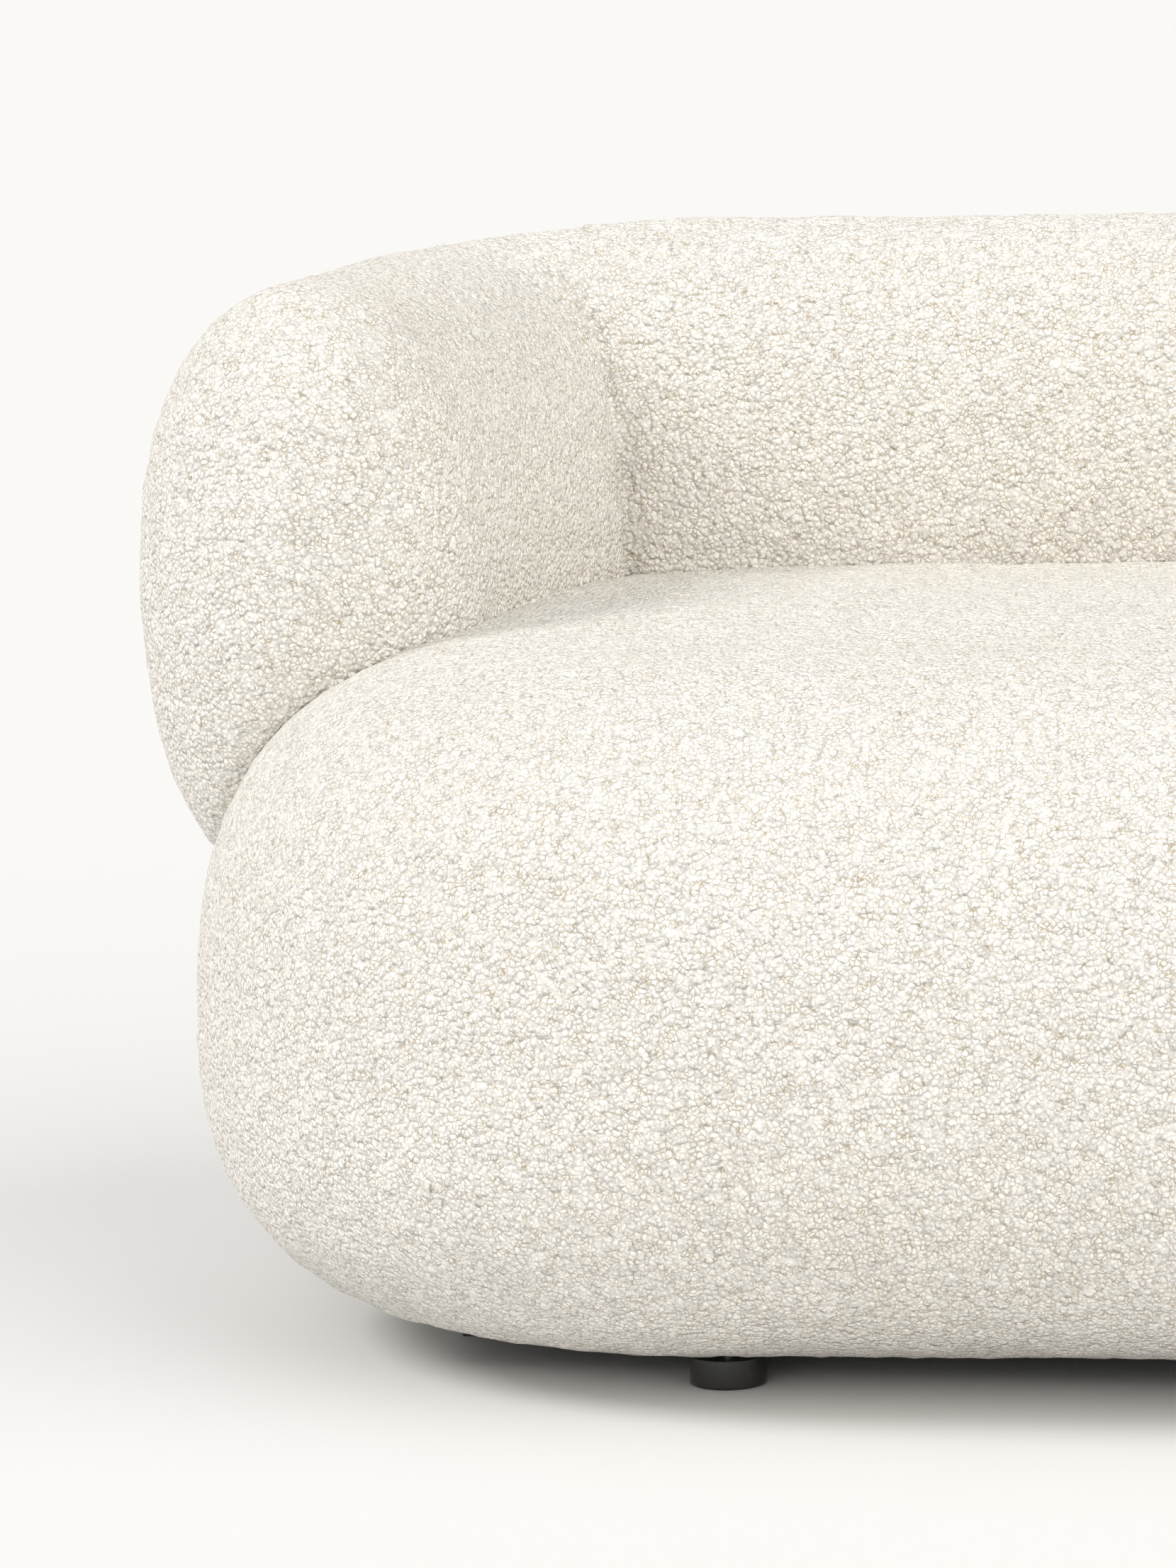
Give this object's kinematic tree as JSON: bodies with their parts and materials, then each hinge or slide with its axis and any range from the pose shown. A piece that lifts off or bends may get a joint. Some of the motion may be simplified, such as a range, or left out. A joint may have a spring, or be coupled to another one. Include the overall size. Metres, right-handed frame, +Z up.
{
  "type": "upholstered sofa",
  "caption": "Low upholstered sofa: a rounded seat volume in cream looped fabric, wrapped at the rear and sides by one soft back-and-arm roll, on short round dark feet.",
  "frame": {"origin": "on the floor, under the middle of the sofa's box", "axes": "+Z up, +X along the sofa's length to the right of someone facing its front, -Y towards the front"},
  "size_m": [2.35, 0.96, 0.699],
  "materials": {
    "boucle": "looped boucle, matte",
    "wadding": "soft fibre batting",
    "foam": "open-cell foam",
    "dust_cloth": "black non-woven",
    "felt": "needled felt",
    "webbing": "woven elastic webbing",
    "spring_steel": "oil-dark spring wire",
    "zinc_steel": "zinc plated",
    "glide_felt": "matte nylon",
    "black_wood": "black lacquered, satin",
    "plywood": "birch plywood, sanded",
    "timber": "planed pine, unfinished",
    "dowel_wood": "beech dowel"
  },
  "bodies": {
    "root": {"arm_ribs": "timber", "back_cover": "boucle", "back_foam": "foam", "back_lower_plate": "plywood", "back_post_1": "timber", "back_post_2": "timber", "back_post_3": "timber", "back_post_4": "timber", "back_ribs": "timber", "back_upper_plate": "plywood", "back_wadding": "wadding", "back_webbing": "webbing", "base_board": "plywood", "base_corner_rail_front_left": "timber", "base_corner_rail_front_right": "timber", "base_corner_rail_rear_left": "timber", "base_corner_rail_rear_right": "timber", "base_cross_rail_1": "timber", "base_cross_rail_2": "timber", "base_cross_rail_3": "timber", "base_cross_rail_4": "timber", "base_front_rail": "timber", "base_left_rail": "timber", "base_rear_rail": "timber", "base_right_rail": "timber", "corner_dowels": "dowel_wood", "dust_cover": "dust_cloth", "foot_bolts": "zinc_steel", "foot_front_left": "black_wood", "foot_front_middle": "black_wood", "foot_front_right": "black_wood", "foot_glides": "glide_felt", "foot_rear_left": "black_wood", "foot_rear_middle": "black_wood", "foot_rear_right": "black_wood", "foot_t_nuts": "zinc_steel", "left_arm_cover": "boucle", "left_arm_foam": "foam", "left_arm_front_post": "timber", "left_arm_lower_plate": "plywood", "left_arm_rear_post": "timber", "left_arm_upper_plate": "plywood", "left_arm_wadding": "wadding", "post_bolts": "zinc_steel", "post_nuts": "zinc_steel", "post_washers": "zinc_steel", "right_arm_cover": "boucle", "right_arm_foam": "foam", "right_arm_front_post": "timber", "right_arm_lower_plate": "plywood", "right_arm_rear_post": "timber", "right_arm_upper_plate": "plywood", "right_arm_wadding": "wadding", "seat_cover": "boucle", "seat_foam_core": "foam", "seat_foam_surround": "foam", "seat_springs": "spring_steel", "seat_wadding": "wadding", "spring_clips": "zinc_steel", "spring_felt": "felt"}
  },
  "joints": []
}
